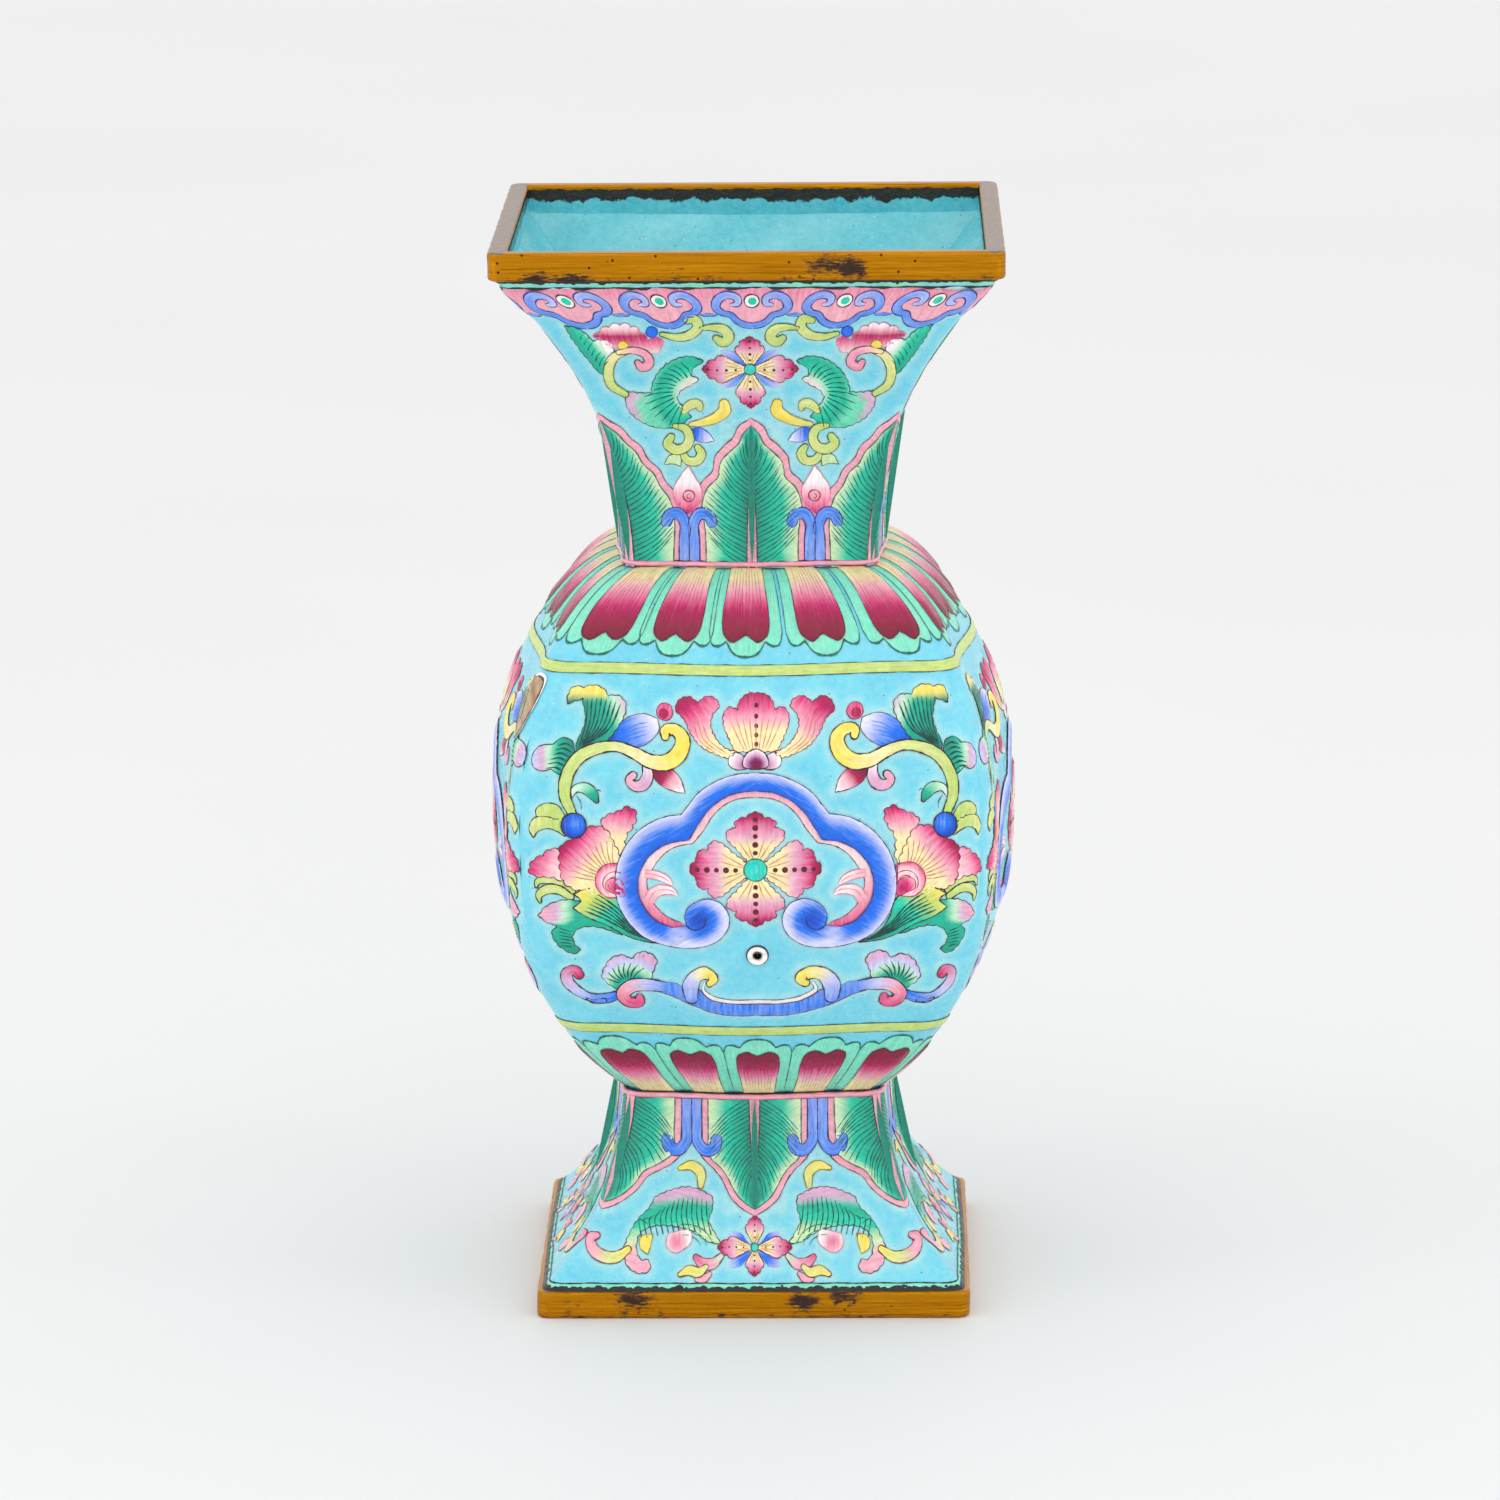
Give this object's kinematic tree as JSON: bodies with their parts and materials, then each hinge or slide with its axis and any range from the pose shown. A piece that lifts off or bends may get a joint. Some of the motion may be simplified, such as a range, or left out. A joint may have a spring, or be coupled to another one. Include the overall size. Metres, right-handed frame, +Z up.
{
  "type": "square baluster vase",
  "caption": "Square beaker-shaped copper vase with a flared mouth, swelling body and spread foot, painted all over in turquoise enamel, with gilt rims.",
  "frame": {"origin": "middle of the foot's resting face", "axes": "+Z up through the mouth, -Y towards the face with the small hole, +X to the right of that face"},
  "size_m": [0.0928, 0.0928, 0.1906],
  "materials": {
    "gilt_copper": "worn gilding, satin, with dark oxidised patches",
    "copper": "hammered sheet, covered by enamel on both sides",
    "outer_enamel": "glossy painted enamel, turquoise ground with raised coloured motifs",
    "inner_enamel": "glossy plain turquoise counter-enamel with dark specks",
    "pink_enamel": "glossy pink enamel with dark outlines"
  },
  "bodies": {
    "root": {"mouth_rim": "gilt_copper", "neck_front_panel": "copper", "neck_right_panel": "copper", "neck_back_panel": "copper", "neck_left_panel": "copper", "neck_enamel": "outer_enamel", "neck_lining": "inner_enamel", "neck_joint_bead": "pink_enamel", "body_front_panel": "copper", "body_right_panel": "copper", "body_back_panel": "copper", "body_left_panel": "copper", "body_enamel": "outer_enamel", "body_lining": "inner_enamel", "body_floor": "copper", "floor_enamel": "inner_enamel", "floor_counter_enamel": "inner_enamel", "waist_joint_bead": "pink_enamel", "foot_front_panel": "copper", "foot_right_panel": "copper", "foot_back_panel": "copper", "foot_left_panel": "copper", "foot_enamel": "outer_enamel", "foot_lining": "inner_enamel", "foot_rim": "gilt_copper"}
  },
  "joints": []
}
